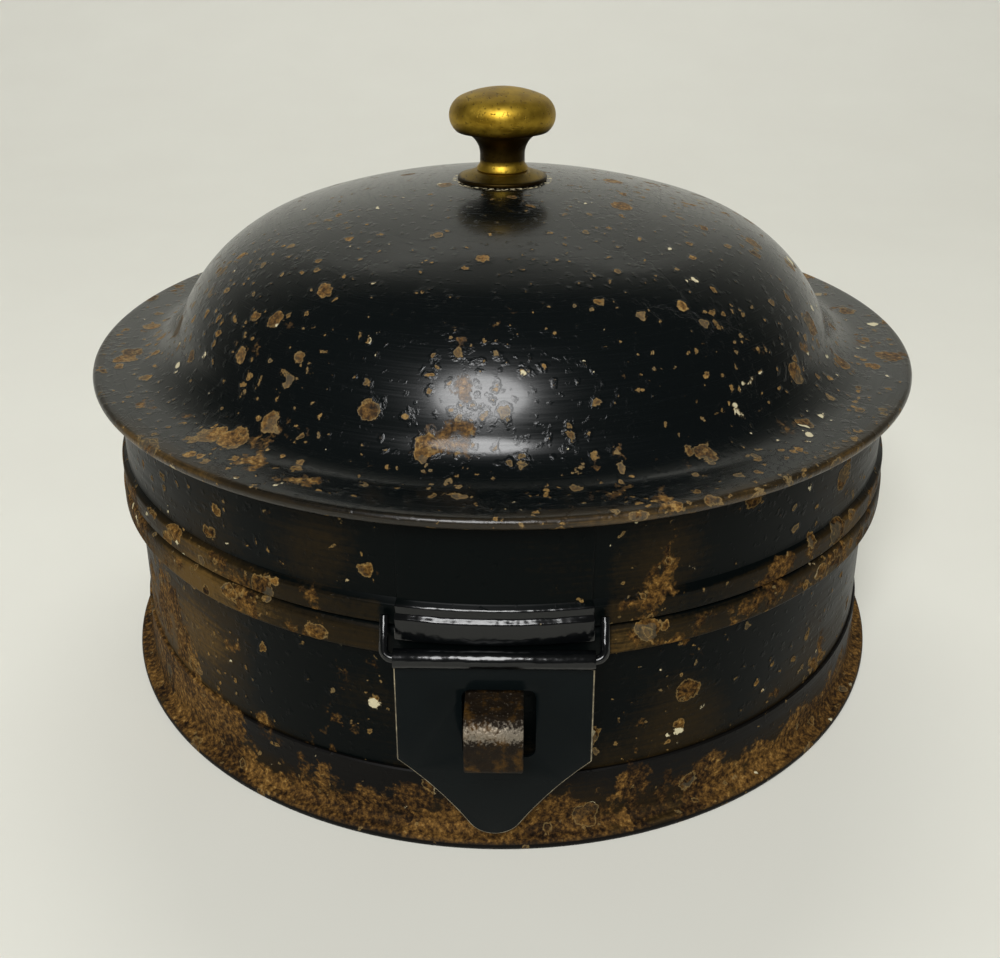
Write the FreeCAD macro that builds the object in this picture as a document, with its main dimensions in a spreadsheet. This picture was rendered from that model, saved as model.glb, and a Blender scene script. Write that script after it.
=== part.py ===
import FreeCAD, Part
import math
import os
from types import SimpleNamespace

import Sketcher

# Round japanned spice tin: hinged domed lid, slotted hasp over a strap staple, flared foot,
# six lift-out canisters round a nutmeg grater.
# Axis of the tin on Z, table at z = 0, hasp towards -Y, lid hinge towards +Y. Millimetres, degrees.

DRIVING = {
    # Sheet and fits
    "sheet": 0.6,                 # tinplate with its japan
    "leaf_sheet": 0.8,            # hinge leaves and hasp
    "thin_sheet": 0.5,            # canisters and grater
    "lap_gap": 0.05,              # solder film between lapped pieces
    "running_gap": 0.05,          # radial play of a knuckle on its pin
    "moving_gap": 0.3,            # room between pieces that move past each other
    # Body wall with its stop bead and neck
    "wall_radius": 83.8,
    "wall_foot": 2.0,
    "bead_bottom": 40.2,
    "bead_height": 6.0,
    "bead_depth": 2.8,
    "bead_undercut": 0.5,
    "bead_round": 1.8,
    "neck_height": 9.8,
    "neck_hem": 3.0,
    # Floor and foot
    "floor_height": 5.0,
    "floor_lip": 3.2,
    "foot_top": 14.2,
    "foot_overhang": 3.15,
    "foot_wire_radius": 0.45,
    "foot_flat_depth": 0.15,
    # Lid
    "skirt_gap": 0.8,
    "skirt_height": 23.5,
    "skirt_flange": 2.0,
    "lid_hem_proud": 1.1,
    "lid_hem_height": 3.8,
    "lid_hem_step": 0.7,
    "brim_overhang": 4.8,
    "brim_wire_radius": 0.45,
    "brim_ledge": 3.7,            # flat between the skirt and the foot of the dome
    "dome_fillet": 10.7,
    "shoulder_radius": 38.0,
    "shoulder_lean": 24.4,
    "crown_turn": 18.3,
    # Knob and what holds it
    "rose_radius": 9.85,
    "rose_edge": 0.8,
    "rose_boss_radius": 6.6,
    "rose_height": 1.7,
    "knob_foot_radius": 5.6,
    "knob_foot_height": 1.4,
    "knob_neck_radius": 4.9,
    "knob_neck_length": 2.1,
    "knob_lip_turn": 48.0,
    "knob_edge_radius": 4.4,
    "knob_crown_radius": 22.0,
    "knob_crown_turn": 24.0,
    "stud_radius": 2.0,
    "stud_in_knob": 7.0,
    "stud_below_nut": 1.4,
    "washer_radius": 6.0,
    "washer_thickness": 1.0,
    "nut_width": 8.0,
    "nut_thickness": 3.0,
    # Lid hinge at the back
    "hinge_width": 26.0,
    "hinge_pin_radius": 0.9,
    "hinge_pin_overhang": 0.6,
    "hinge_knuckle": 9.8,
    "hinge_base_drop": 22.0,
    "hinge_lid_rise": 20.0,
    "hinge_web": 4.0,
    # Hasp and its hinge at the front
    "hasp_hinge_drop": 3.5,       # hinge line below the top of the stop bead
    "hasp_width": 34.0,
    "hasp_thickness": 0.8,
    "hasp_wire_radius": 0.8,
    "hasp_wire_bend": 1.6,
    "hasp_wire_rise": 6.3,
    "hasp_roll_end": 70.0,        # where the roll stops, from straight out to straight down
    "hasp_leaf_margin": 1.0,
    "hasp_leaf_clear": 2.5,       # leaf's top edge below the brim's edge
    "hasp_ridge_rise": 2.3,
    "hasp_shoulder": 21.5,
    "hasp_tip": 5.0,
    "hasp_tip_radius": 5.4,
    "hasp_flank_radius": 70.0,
    "hasp_flank_slope": 53.0,
    "slot_side_room": 1.3,
    "slot_end_room": 1.3,
    "slot_swing_room": 2.1,       # below the strap, so that the slot clears its nose as the hasp swings
    "slot_offset": 0.8,
    "slot_corner": 1.6,
    # Strap staple
    "strap_drop": 7.7,            # top of the strap below the hasp's hinge line
    "strap_width": 10.0,
    "strap_height": 10.6,
    "strap_thickness": 1.1,
    "strap_stand": 7.4,           # how far the strap stands out from the hasp
    "strap_upper_bend": 3.0,
    "strap_lower_bend": 1.7,
    "strap_clinch": 4.0,
    # Canisters
    "canister_count": 6,
    "canister_side_gap": 0.4,
    "canister_recess": 4.0,       # rim below the top of the neck
    "canister_hem": 2.5,
    "tab_width": 9.0,
    "tab_hold": 9.0,
    "tab_rise": 4.0,
    "tab_curl": 2.0,
    # Grater
    "grater_radius": 19.0,
    "grater_stand": 6.0,          # top above the neck
    "grater_room": 2.2,
    "cap_depth": 9.0,
    "cap_crown": 1.5,
    "rasp_hole_radius": 0.9,
    "rasp_columns": 14,
    "rasp_rows": 4,
    "rasp_first_row": 8.0,
    "rasp_pitch": 9.0,
}

UP = FreeCAD.Vector(0, 0, 1)
FULL_TURN = 360
HALF_TURN = 180
RIGHT_ANGLE = 90


class Size:
    """A number together with the spreadsheet expression that gives it."""

    def __init__(self, value, text):
        self.value = value
        self.text = text

    @staticmethod
    def of(other):
        if isinstance(other, Size):
            return other
        return Size(float(other), repr(float(other)))

    def joined(self, sign, other, value):
        return Size(value, f"({self.text} {sign} {other.text})")

    def __add__(self, other):
        other = Size.of(other)
        return self.joined("+", other, self.value + other.value)

    def __sub__(self, other):
        other = Size.of(other)
        return self.joined("-", other, self.value - other.value)

    def __mul__(self, other):
        other = Size.of(other)
        return self.joined("*", other, self.value * other.value)

    def __truediv__(self, other):
        other = Size.of(other)
        return self.joined("/", other, self.value / other.value)

    def __neg__(self):
        return Size(-self.value, f"(0 - {self.text})")

    __radd__ = __add__
    __rmul__ = __mul__

    def __rsub__(self, other):
        return Size.of(other) - self

    def __rtruediv__(self, other):
        return Size.of(other) / self


def root(size):
    return Size(math.sqrt(size.value), f"sqrt({size.text})")


def sine(angle):
    return Size(math.sin(math.radians(angle.value)), f"sin({angle.text})")


def cosine(angle):
    return Size(math.cos(math.radians(angle.value)), f"cos({angle.text})")


def arcsine(ratio):
    return Size(math.degrees(math.asin(ratio.value)), f"(asin({ratio.text}) / 1 deg)")


def leg(long_side, short_side):
    """Third side of a right triangle from its longest side and one other."""
    return root(long_side * long_side - short_side * short_side)


# An outline's point is (x, y) or (x, y, bend), where the bend is the arc that leaves the point.
def left_bend(radius, far=False):
    return SimpleNamespace(radius=Size.of(radius), left=True, far=far)


def right_bend(radius, far=False):
    return SimpleNamespace(radius=Size.of(radius), left=False, far=far)


def arc_between(start, end, bend):
    """Arc of the bend's radius from start to end; far takes the way of more than half a turn."""
    chord = end - start
    reach = math.sqrt(max(bend.radius.value ** 2 - (chord.Length / 2) ** 2, 0))
    aside = FreeCAD.Vector(-chord.y, chord.x, 0).normalize()
    to_left = bend.left != bend.far
    centre = (start + end) * 0.5 + aside * (reach if to_left else -reach)
    first, last = (start, end) if bend.left else (end, start)
    circle = Part.Circle(centre, UP, bend.radius.value)
    return Part.ArcOfCircle(circle, circle.parameter(first), circle.parameter(last))


doc = FreeCAD.newDocument("SpiceTin")
sheet = doc.addObject("Spreadsheet::Sheet", "Sizes")
for row, (name, value) in enumerate(DRIVING.items(), 1):
    sheet.set(f"A{row}", name)
    sheet.set(f"B{row}", str(value))
    sheet.setAlias(f"B{row}", name)
doc.recompute()
d = SimpleNamespace(**{name: Size(float(sheet.get(name)), f"Sizes.{name}") for name in DRIVING})

nodes = []


def new_body(label):
    body = doc.addObject("PartDesign::Body", label)
    body.Label = label
    nodes.append(body)
    return body


def new_sketch(body, role):
    plane = next(f for f in body.Origin.OriginFeatures if f.Role == role)
    sketch = body.newObject("Sketcher::SketchObject", f"{body.Label}_sketch")
    sketch.AttachmentSupport = [(plane, "")]
    sketch.MapMode = "FlatFace"
    return sketch


def pin_down(sketch, direction, geometry, end, size):
    """Hold one coordinate of a point; a bare 0 keeps the point on the axis."""
    if not isinstance(size, Size):
        axis = -2 if direction == "DistanceX" else -1
        sketch.addConstraint(Sketcher.Constraint("PointOnObject", geometry, end, axis))
        return
    held = sketch.addConstraint(Sketcher.Constraint(direction, -1, 1, geometry, end, size.value))
    sketch.setExpression(f"Constraints[{held}]", size.text)


def draw(sketch, points, closed=True):
    """Outline through the points, held by their expressions."""
    spots = [FreeCAD.Vector(Size.of(p[0]).value, Size.of(p[1]).value, 0) for p in points]
    edges = []
    for i, point in enumerate(points if closed else points[:-1]):
        start, end = spots[i], spots[(i + 1) % len(spots)]
        bend = point[2] if len(point) > 2 else None
        if bend is None:
            edges.append((sketch.addGeometry(Part.LineSegment(start, end)), 1, 2))
            continue
        arc = sketch.addGeometry(arc_between(start, end, bend))
        edges.append((arc, 1, 2) if bend.left else (arc, 2, 1))
    following = edges[1:] + edges[:1] if closed else edges[1:]
    for (edge, _, last), (after, first, _) in zip(edges, following):
        sketch.addConstraint(Sketcher.Constraint("Coincident", edge, last, after, first))
    for (edge, first, _), point in zip(edges, points):
        pin_down(sketch, "DistanceX", edge, first, point[0])
        pin_down(sketch, "DistanceY", edge, first, point[1])
        if len(point) > 2:
            radius = point[2].radius
            held = sketch.addConstraint(Sketcher.Constraint("Radius", edge, radius.value))
            sketch.setExpression(f"Constraints[{held}]", radius.text)
    if not closed:
        edge, _, last = edges[-1]
        pin_down(sketch, "DistanceX", edge, last, points[-1][0])
        pin_down(sketch, "DistanceY", edge, last, points[-1][1])


def draw_circle(sketch, x, y, radius):
    centre = FreeCAD.Vector(Size.of(x).value, Size.of(y).value, 0)
    circle = sketch.addGeometry(Part.Circle(centre, UP, radius.value))
    pin_down(sketch, "DistanceX", circle, 3, x)
    pin_down(sketch, "DistanceY", circle, 3, y)
    held = sketch.addConstraint(Sketcher.Constraint("Radius", circle, radius.value))
    sketch.setExpression(f"Constraints[{held}]", radius.text)


def rectangle(left, right, low, high):
    return [(left, low), (right, low), (right, high), (left, high)]


def revolve(body, points, role="XZ_Plane", angle=None):
    """Turn an outline about Z: right round, or evenly to both sides over an angle."""
    sketch = new_sketch(body, role)
    draw(sketch, points)
    turn = body.newObject("PartDesign::Revolution", f"{body.Label}_turn")
    turn.Profile = sketch
    turn.ReferenceAxis = (sketch, ["V_Axis"])
    turn.Angle = FULL_TURN
    if angle is not None:
        turn.Midplane = True
        turn.setExpression("Angle", angle.text)
    return turn


def pad(body, outlines, role, length, even=False):
    """Straight extrusion of one or more outlines, evenly to both sides where asked."""
    sketch = new_sketch(body, role)
    for points in outlines:
        draw(sketch, points)
    block = body.newObject("PartDesign::Pad", f"{body.Label}_pad")
    block.Profile = sketch
    block.setExpression("Length", length.text)
    if even:
        block.SideType = "Symmetric"
    return block


def pocket(body, sketch, length, even=False, back=False):
    """Cut along the sketch's normal, and make sure that something was cut."""
    doc.recompute()
    before = body.Shape.Volume
    cut = body.newObject("PartDesign::Pocket", f"{body.Label}_pocket")
    cut.Profile = sketch
    cut.Reversed = back
    cut.setExpression("Length", length.text)
    if even:
        cut.SideType = "Symmetric"
    doc.recompute()
    if body.Shape.Volume >= before:
        raise ValueError(f"{body.Label}: a pocket cuts nothing")
    return cut


def put(node, x=None, y=None, z=None):
    """Place a node along the axes by expressions."""
    for axis, size in (("x", x), ("y", y), ("z", z)):
        if size is not None:
            node.setExpression(f"Placement.Base.{axis}", size.text)


# Radii and heights that several pieces share
bead_radius = d.wall_radius + d.bead_depth
bead_top = d.bead_bottom + d.bead_height
neck_inner = d.wall_radius - d.sheet
neck_top = bead_top + d.neck_height
floor_top = d.floor_height + d.sheet
lid_bottom = bead_top + d.moving_gap
brim_top = lid_bottom + d.skirt_height
brim_under = brim_top - d.sheet
skirt_radius = d.wall_radius + d.skirt_gap + d.sheet
lid_hem_radius = skirt_radius + d.lid_hem_proud
lid_hem_top = lid_bottom + d.lid_hem_height
stud_hole = d.stud_radius + d.lap_gap * 2

# The dome, from the brim inwards: fillet, shoulder arc, then a crown arc centred on the axis
fillet_end = skirt_radius - d.brim_ledge
shoulder_reach = d.shoulder_radius + d.dome_fillet
shoulder_x = fillet_end - shoulder_reach * cosine(d.shoulder_lean)
shoulder_z = brim_top + d.dome_fillet - shoulder_reach * sine(d.shoulder_lean)
crown_radius = d.shoulder_radius + shoulder_x / sine(d.crown_turn)
crown_z = shoulder_z - shoulder_x / sine(d.crown_turn) * cosine(d.crown_turn)
dome_top = crown_z + crown_radius
rose_top = dome_top + d.rose_height

# The hasp's hinge line and plate, as distances from the tin's axis
hasp_bore = d.hasp_wire_radius + d.running_gap
hasp_roll = hasp_bore + d.leaf_sheet
hasp_axis = bead_radius + d.moving_gap + hasp_roll
hasp_line = bead_top - d.hasp_hinge_drop
hasp_back = hasp_axis - hasp_bore + d.lap_gap
strap_front = hasp_back + d.hasp_thickness + d.strap_stand
strap_top = hasp_line - d.strap_drop
strap_bottom = strap_top - d.strap_height
slot_top = strap_top + d.slot_end_room
slot_bottom = strap_bottom - d.slot_swing_room
strap_seat = leg(neck_inner, d.strap_width / 2) - d.lap_gap

# Canisters and grater
canister_base = floor_top + d.moving_gap
canister_top = neck_top - d.canister_recess
canister_height = canister_top - canister_base
canister_radius = strap_seat - d.strap_thickness - d.moving_gap
cap_inner = d.grater_radius + d.moving_gap
canister_core = cap_inner + d.thin_sheet + d.grater_room
grater_top = neck_top + d.grater_stand


def crown_height(radius, inset):
    """Height of the crown at a radius, on its outer face or inset from it."""
    return crown_z + leg(crown_radius - inset, radius)


def on_shoulder(angle, inset):
    """Point of the shoulder arc at an angle from the axis, on its outer face or inset from it."""
    reach = d.shoulder_radius - inset
    return shoulder_x + reach * sine(angle), shoulder_z + reach * cosine(angle)


def face_front(body):
    """Turn a piece drawn on the back of the tin round to the front."""
    body.Placement = FreeCAD.Placement(FreeCAD.Vector(), FreeCAD.Rotation(UP, HALF_TURN))


def body_wall():
    wall, skin = d.wall_radius, d.sheet
    lower = d.bead_bottom + d.bead_undercut
    round_start = bead_top - d.bead_round
    body = new_body("body_wall")
    revolve(body, [
        (wall, d.wall_foot),
        (wall, d.bead_bottom),
        (bead_radius, lower),
        (bead_radius, round_start, left_bend(d.bead_round)),
        (bead_radius - d.bead_round, bead_top),
        (wall, bead_top),
        (wall, neck_top),
        (neck_inner - skin, neck_top),
        (neck_inner - skin, neck_top - d.neck_hem),
        (neck_inner, neck_top - d.neck_hem),
        (neck_inner, bead_top - skin),
        (bead_radius - d.bead_round, bead_top - skin, right_bend(d.bead_round - skin)),
        (bead_radius - skin, round_start),
        (bead_radius - skin, lower + skin),
        (neck_inner, d.bead_bottom + skin),
        (neck_inner, d.wall_foot),
    ])
    # Slits for the two legs of the staple
    sketch = new_sketch(body, "XZ_Plane")
    half = d.strap_width / 2 + d.lap_gap
    for high in (strap_top, strap_bottom + d.strap_thickness):
        low = high - d.strap_thickness
        draw(sketch, rectangle(-half, half, low - d.lap_gap, high + d.lap_gap))
    pocket(body, sketch, d.wall_radius + d.sheet, back=True)


def base_floor():
    edge = neck_inner - d.lap_gap
    lip = floor_top - d.floor_lip
    revolve(new_body("base_floor"), [
        (0, d.floor_height),
        (edge - d.sheet, d.floor_height),
        (edge - d.sheet, lip),
        (edge, lip),
        (edge, floor_top),
        (0, floor_top),
    ])


def rolled_edge(wire_radius):
    """Outer and inner radius of sheet rolled round a wire."""
    inner = wire_radius + d.lap_gap
    return inner + d.sheet, inner


def wire_ring(label, ring_radius, wire_radius, height):
    wire = doc.addObject("Part::Torus", label)
    wire.Label = label
    wire.setExpression("Radius1", ring_radius.text)
    wire.setExpression("Radius2", wire_radius.text)
    put(wire, z=height)
    nodes.append(wire)


def foot():
    roll, bore = rolled_edge(d.foot_wire_radius)
    inside = d.wall_radius + d.lap_gap
    outside = inside + d.sheet
    centre = outside + d.foot_overhang - roll
    height = roll - d.foot_flat_depth
    flare = centre - outside
    flare_top = height + roll + flare
    flat = leg(roll, height)
    revolve(new_body("foot_ring"), [
        (outside, d.foot_top),
        (outside, flare_top, left_bend(flare)),
        (centre, height + roll, right_bend(roll)),
        (centre + flat, 0),
        (centre - flat, 0, right_bend(roll)),
        (centre - roll, height),
        (centre - bore, height, left_bend(bore, far=True)),
        (centre, height + bore, right_bend(flare + d.sheet)),
        (inside, flare_top),
        (inside, d.foot_top),
    ])
    wire_ring("foot_wire", centre, d.foot_wire_radius, height)


def lid_dome():
    roll, bore = rolled_edge(d.brim_wire_radius)
    centre = skirt_radius + d.brim_overhang - roll
    skin = d.sheet
    meet = d.crown_turn
    leave = RIGHT_ANGLE - d.shoulder_lean
    revolve(new_body("lid_dome"), [
        (stud_hole, crown_height(stud_hole, 0), right_bend(crown_radius)),
        (*on_shoulder(meet, 0), right_bend(d.shoulder_radius)),
        (*on_shoulder(leave, 0), left_bend(d.dome_fillet)),
        (fillet_end, brim_top),
        (centre, brim_top, right_bend(roll, far=True)),
        (centre - roll, brim_top - roll),
        (centre - bore, brim_top - roll, left_bend(bore, far=True)),
        (centre, brim_under),
        (fillet_end, brim_under, right_bend(d.dome_fillet + skin)),
        (*on_shoulder(leave, skin), left_bend(d.shoulder_radius - skin)),
        (*on_shoulder(meet, skin), left_bend(crown_radius - skin)),
        (stud_hole, crown_height(stud_hole, skin)),
    ])
    wire_ring("brim_wire", centre, d.brim_wire_radius, brim_top - roll)


def lid_skirt():
    skin = d.sheet
    top = brim_under - d.lap_gap
    step_top = lid_hem_top + d.lid_hem_step
    revolve(new_body("lid_skirt"), [
        (skirt_radius, top),
        (skirt_radius, step_top),
        (lid_hem_radius, lid_hem_top),
        (lid_hem_radius, lid_bottom),
        (lid_hem_radius - skin * 2, lid_bottom),
        (lid_hem_radius - skin * 2, lid_hem_top - skin),
        (skirt_radius - skin, step_top - skin),
        (skirt_radius - skin, top - skin),
        (skirt_radius - d.skirt_flange, top - skin),
        (skirt_radius - d.skirt_flange, top),
    ])


def knob_rose():
    edge = crown_height(d.rose_radius, 0) + d.lap_gap
    revolve(new_body("knob_rose"), [
        (stud_hole, crown_height(stud_hole, 0) + d.lap_gap, right_bend(crown_radius)),
        (d.rose_radius, edge),
        (d.rose_radius, edge + d.rose_edge),
        (d.rose_boss_radius, rose_top),
        (stud_hole, rose_top),
    ])


def knob():
    foot_line = rose_top + d.lap_gap
    neck_line = foot_line + d.knob_foot_height
    # Head: a crown arc centred on the axis runs on into a tighter edge arc, down to the lip
    inside = d.knob_crown_radius - d.knob_edge_radius
    head_x = inside * sine(d.knob_crown_turn)
    lip = head_x + d.knob_edge_radius * cosine(d.knob_lip_turn)
    cove = lip - d.knob_neck_radius
    lip_line = neck_line + d.knob_neck_length + cove
    head_z = lip_line + d.knob_edge_radius * sine(d.knob_lip_turn)
    crown = head_z - inside * cosine(d.knob_crown_turn)
    meet_x = d.knob_crown_radius * sine(d.knob_crown_turn)
    meet_z = crown + d.knob_crown_radius * cosine(d.knob_crown_turn)
    bore = d.stud_radius + d.lap_gap
    socket = foot_line + d.stud_in_knob + d.lap_gap
    revolve(new_body("knob"), [
        (bore, foot_line),
        (d.knob_foot_radius, foot_line),
        (d.knob_neck_radius, neck_line),
        (d.knob_neck_radius, neck_line + d.knob_neck_length, right_bend(cove)),
        (lip, lip_line, left_bend(d.knob_edge_radius)),
        (meet_x, meet_z, left_bend(d.knob_crown_radius)),
        (0, crown + d.knob_crown_radius),
        (0, socket),
        (bore, socket),
    ])


def knob_fixing():
    washer_top = crown_height(d.washer_radius, d.sheet) - d.lap_gap
    washer_bottom = washer_top - d.washer_thickness
    revolve(new_body("knob_washer"),
            rectangle(stud_hole, d.washer_radius, washer_bottom, washer_top))
    nut_bottom = washer_bottom - d.lap_gap - d.nut_thickness
    half = d.nut_width / 2
    nut = new_body("knob_nut")
    pad(nut, [rectangle(-half, half, -half, half)], "XY_Plane", d.nut_thickness)
    sketch = new_sketch(nut, "XY_Plane")
    draw_circle(sketch, 0, 0, stud_hole)
    pocket(nut, sketch, d.nut_thickness, back=True)
    put(nut, z=nut_bottom)
    stud_bottom = nut_bottom - d.stud_below_nut
    stud = doc.addObject("Part::Cylinder", "knob_stud")
    stud.Label = "knob_stud"
    stud.setExpression("Radius", d.stud_radius.text)
    stud.setExpression("Height", (rose_top + d.lap_gap + d.stud_in_knob - stud_bottom).text)
    put(stud, z=stud_bottom)
    nodes.append(stud)


def strip_angle(width, radius):
    """Angle that a strip of a given width takes round the tin."""
    return arcsine(width / 2 / radius) * 2


def add_barrel(body, x, z, radius, length):
    sketch = new_sketch(body, "YZ_Plane")
    draw_circle(sketch, x, z, radius)
    barrel = body.newObject("PartDesign::Pad", f"{body.Label}_barrel")
    barrel.Profile = sketch
    barrel.SideType = "Symmetric"
    barrel.setExpression("Length", length.text)


def bore_across(body, x, z, radius, length):
    sketch = new_sketch(body, "YZ_Plane")
    draw_circle(sketch, x, z, radius)
    pocket(body, sketch, length, even=True)


def lid_hinge():
    skin = d.leaf_sheet
    bore = d.hinge_pin_radius + d.running_gap
    roll = bore + skin
    axis = bead_radius + d.moving_gap + roll
    line = bead_top
    web = (axis - roll, axis - roll + skin)
    pin_length = d.hinge_width + d.hinge_pin_overhang * 2

    # Leaf on the body, bent out over the stop bead, with a knuckle at each end
    base = new_body("hinge_base_leaf")
    inside = d.wall_radius + d.lap_gap
    over = bead_radius + d.lap_gap
    low, high = line - d.hinge_base_drop, line - d.hinge_web / 2
    revolve(base, [
        (inside, low),
        (inside + skin, low),
        (inside + skin, d.bead_bottom - skin * 2),
        (over + skin, d.bead_bottom - skin),
        (over + skin, high),
        (over, high),
        (over, d.bead_bottom - d.lap_gap),
        (inside, d.bead_bottom - skin),
    ], "YZ_Plane", strip_angle(d.hinge_width, inside))
    pad(base, [rectangle(*web, line - d.hinge_web, line)], "YZ_Plane", d.hinge_width, even=True)
    add_barrel(base, axis, line, roll, d.hinge_width)
    bore_across(base, axis, line, roll + d.moving_gap, d.hinge_knuckle + d.moving_gap * 2)
    bore_across(base, axis, line, bore, pin_length)

    # Leaf on the lid, bent out over the hem, with the middle knuckle
    lid = new_body("hinge_lid_leaf")
    inside = skirt_radius + d.lap_gap
    over = lid_hem_radius + d.lap_gap
    low, high = line + roll + d.moving_gap, lid_bottom + d.hinge_lid_rise
    step_top = lid_hem_top + d.lid_hem_step
    revolve(lid, [
        (inside, high),
        (inside, step_top + d.lap_gap),
        (over, lid_hem_top + d.lap_gap),
        (over, low),
        (over + skin, low),
        (over + skin, lid_hem_top + skin),
        (inside + skin, step_top + skin),
        (inside + skin, high),
    ], "YZ_Plane", strip_angle(d.hinge_width, inside))
    pad(lid, [rectangle(*web, line, line + d.hinge_web)], "YZ_Plane", d.hinge_knuckle, even=True)
    add_barrel(lid, axis, line, roll, d.hinge_knuckle)
    bore_across(lid, axis, line, bore, pin_length)

    pin = doc.addObject("Part::Cylinder", "hinge_pin")
    pin.Label = "hinge_pin"
    pin.setExpression("Radius", d.hinge_pin_radius.text)
    pin.setExpression("Height", pin_length.text)
    along_x = FreeCAD.Rotation(FreeCAD.Vector(0, 1, 0), RIGHT_ANGLE)
    pin.Placement = FreeCAD.Placement(FreeCAD.Vector(), along_x)
    put(pin, x=-pin_length / 2, y=axis, z=line)
    nodes.append(pin)


def hasp_hinge_leaf():
    skin = d.sheet
    inside = skirt_radius + d.lap_gap
    over = lid_hem_radius + d.lap_gap
    ridge = bead_radius + d.moving_gap + d.lap_gap
    ridge_top = lid_bottom + d.hasp_ridge_rise
    ridge_bottom = hasp_line + hasp_roll + d.moving_gap
    step_top = lid_hem_top + d.lid_hem_step
    high = brim_under - d.hasp_leaf_clear
    body = new_body("hasp_hinge_leaf")
    revolve(body, [
        (inside, high),
        (inside, step_top + d.lap_gap),
        (over, lid_hem_top + d.lap_gap),
        (over, ridge_top),
        (ridge, ridge_top - skin),
        (ridge, ridge_bottom),
        (ridge + d.leaf_sheet, ridge_bottom),
        (ridge + d.leaf_sheet, ridge_top),
        (over + skin, ridge_top + skin),
        (over + skin, lid_hem_top + skin),
        (inside + skin, step_top + skin),
        (inside + skin, high),
    ], "YZ_Plane", strip_angle(d.hasp_width, ridge + d.leaf_sheet))
    face_front(body)


def hasp_wire():
    # Drawn flat, legs up, then leant back until the legs lie against the lid's hem
    side = d.hasp_width / 2 + d.hasp_wire_bend
    seat = leg(lid_hem_radius, side) + d.hasp_wire_radius + d.lap_gap
    lean = hasp_axis - seat
    length = root(lean * lean + d.hasp_wire_rise * d.hasp_wire_rise)
    body = new_body("hasp_wire")
    path = new_sketch(body, "XY_Plane")
    draw(path, [
        (-side, length),
        (-side, d.hasp_wire_bend, left_bend(d.hasp_wire_bend)),
        (d.hasp_wire_bend - side, 0),
        (side - d.hasp_wire_bend, 0, left_bend(d.hasp_wire_bend)),
        (side, d.hasp_wire_bend),
        (side, length),
    ], closed=False)
    section = new_sketch(body, "XZ_Plane")
    section.setExpression("AttachmentOffset.Base.z", (-length).text)
    draw_circle(section, -side, 0, d.hasp_wire_radius)
    doc.recompute()
    pipe = body.newObject("PartDesign::AdditivePipe", "hasp_wire_pipe")
    pipe.Profile = section
    pipe.Spine = (path, [f"Edge{i}" for i in range(1, path.GeometryCount + 1)])
    body.Placement = FreeCAD.Placement(FreeCAD.Vector(),
                                       FreeCAD.Rotation(FreeCAD.Vector(1, 0, 0), RIGHT_ANGLE))
    body.setExpression("Placement.Rotation.Angle", f"atan({d.hasp_wire_rise.text} / {lean.text})")
    put(body, y=-hasp_axis, z=hasp_line)


def hasp_knuckle():
    end = d.hasp_roll_end
    low = slot_top + d.hasp_leaf_margin

    def roll_end(radius):
        return hasp_axis - radius * cosine(end), hasp_line - radius * sine(end)

    body = new_body("hasp_knuckle")
    pad(body, [[
        (hasp_axis - hasp_roll, hasp_line),
        (hasp_axis - hasp_roll, low),
        (hasp_axis - hasp_bore, low),
        (hasp_axis - hasp_bore, hasp_line, right_bend(hasp_bore, far=True)),
        (*roll_end(hasp_bore),),
        (*roll_end(hasp_roll), left_bend(hasp_roll, far=True)),
    ]], "YZ_Plane", d.hasp_width, even=True)
    face_front(body)


def hasp_plate():
    half = d.hasp_width / 2
    top = hasp_line - hasp_roll - d.moving_gap
    tip_x = d.hasp_tip_radius * sine(d.hasp_flank_slope)
    tip_z = d.hasp_tip + d.hasp_tip_radius - d.hasp_tip_radius * cosine(d.hasp_flank_slope)
    body = new_body("hasp_plate")
    pad(body, [[
        (-half, top),
        (half, top),
        (half, d.hasp_shoulder, left_bend(d.hasp_flank_radius)),
        (tip_x, tip_z, right_bend(d.hasp_tip_radius)),
        (-tip_x, tip_z, left_bend(d.hasp_flank_radius)),
        (-half, d.hasp_shoulder),
    ]], "XZ_Plane", d.hasp_thickness)
    sketch = new_sketch(body, "XZ_Plane")
    room = d.strap_width / 2 + d.slot_side_room
    left, right = d.slot_offset - room, d.slot_offset + room
    corner = d.slot_corner
    draw(sketch, [
        (left + corner, slot_bottom),
        (right - corner, slot_bottom, left_bend(corner)),
        (right, slot_bottom + corner),
        (right, slot_top - corner, left_bend(corner)),
        (right - corner, slot_top),
        (left + corner, slot_top, left_bend(corner)),
        (left, slot_top - corner),
        (left, slot_bottom + corner, left_bend(corner)),
    ])
    pocket(body, sketch, d.hasp_thickness, back=True)
    put(body, y=-hasp_back)


def staple():
    strap = d.strap_thickness
    upper, lower = d.strap_upper_bend, d.strap_lower_bend
    inner = strap_seat - strap
    body = new_body("staple")
    pad(body, [[
        (strap_seat, strap_top),
        (strap_front - upper, strap_top, right_bend(upper)),
        (strap_front, strap_top - upper),
        (strap_front, strap_bottom + lower, right_bend(lower)),
        (strap_front - lower, strap_bottom),
        (strap_seat, strap_bottom),
        (strap_seat, strap_bottom - d.strap_clinch),
        (inner, strap_bottom - d.strap_clinch),
        (inner, strap_bottom + strap),
        (strap_front - lower, strap_bottom + strap, left_bend(lower - strap)),
        (strap_front - strap, strap_bottom + lower),
        (strap_front - strap, strap_top - upper, left_bend(upper - strap)),
        (strap_front - upper, strap_top - strap),
        (inner, strap_top - strap),
        (inner, strap_top + d.strap_clinch),
        (strap_seat, strap_top + d.strap_clinch),
    ]], "YZ_Plane", d.strap_width, even=True)
    face_front(body)


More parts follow.
